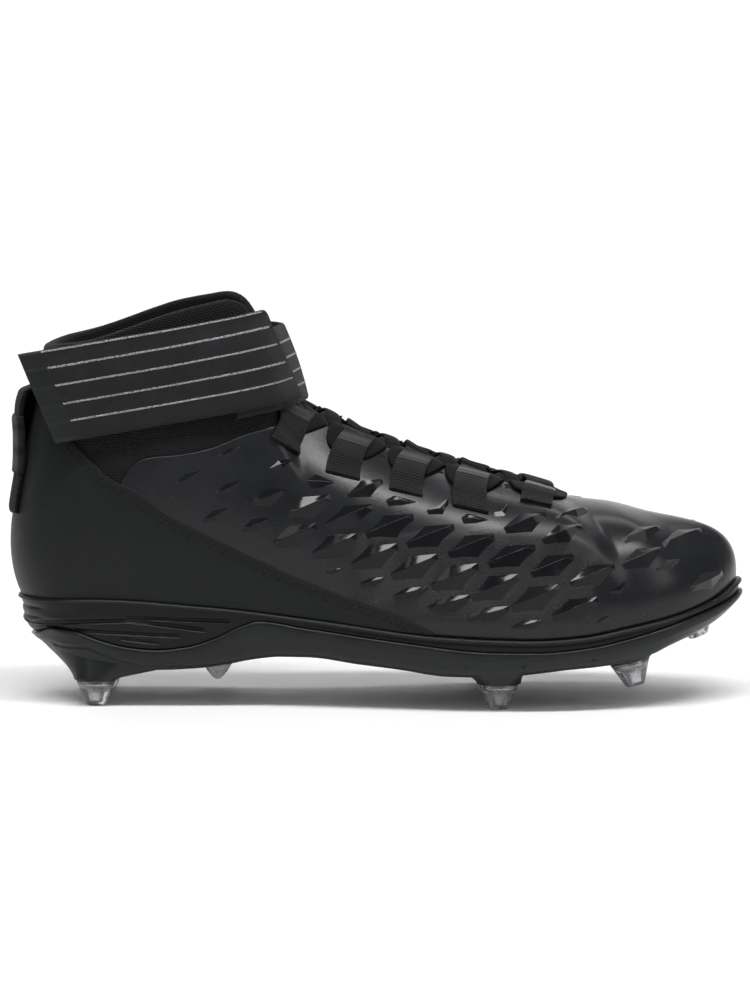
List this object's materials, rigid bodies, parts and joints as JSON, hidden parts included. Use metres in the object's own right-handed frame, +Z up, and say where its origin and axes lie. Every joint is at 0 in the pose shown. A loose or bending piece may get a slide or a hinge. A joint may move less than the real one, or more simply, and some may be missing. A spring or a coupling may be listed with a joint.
{
  "type": "american football cleat",
  "caption": "High-top football cleat with a hollow upper, sewn tongue, webbing lace loops, wrapping ankle strap and a stiff plate with clear conical studs.",
  "frame": {"origin": "on the floor that the studs stand on, under the middle of the shoe's box", "axes": "+X from the heel to the toe, +Y to the medial side, which is the left of this right shoe, +Z up"},
  "size_m": [0.3173, 0.1019, 0.1707],
  "materials": {
    "upper_skin": "glossy moulded black synthetic skin over knit",
    "quarter": "smooth matte black synthetic",
    "knit": "black padded knit",
    "foam": "black moulded foam",
    "plate": "black moulded polymer",
    "stud": "clear polymer",
    "webbing": "black ribbed webbing",
    "elastic": "black ribbed elastic with thin silver stripes"
  },
  "bodies": {
    "root": {"upper": "upper_skin", "heel_quarter": "quarter", "tongue": "knit", "insole": "knit", "midsole": "foam", "outsole_plate": "plate", "stud_heel_lateral": "stud", "stud_heel_medial": "stud", "stud_ball_lateral": "stud", "stud_ball_medial": "stud", "stud_front_lateral": "stud", "stud_front_medial": "stud", "stud_toe": "stud", "arch_tooth": "stud", "loop_lateral_1": "webbing", "loop_lateral_2": "webbing", "loop_lateral_3": "webbing", "loop_lateral_4": "webbing", "loop_lateral_5": "webbing", "loop_medial_1": "webbing", "loop_medial_2": "webbing", "loop_medial_3": "webbing", "loop_medial_4": "webbing", "loop_medial_5": "webbing", "lace": "webbing", "heel_pull_loop": "webbing", "strap_front": "elastic", "strap_panel": "elastic"}
  },
  "joints": []
}
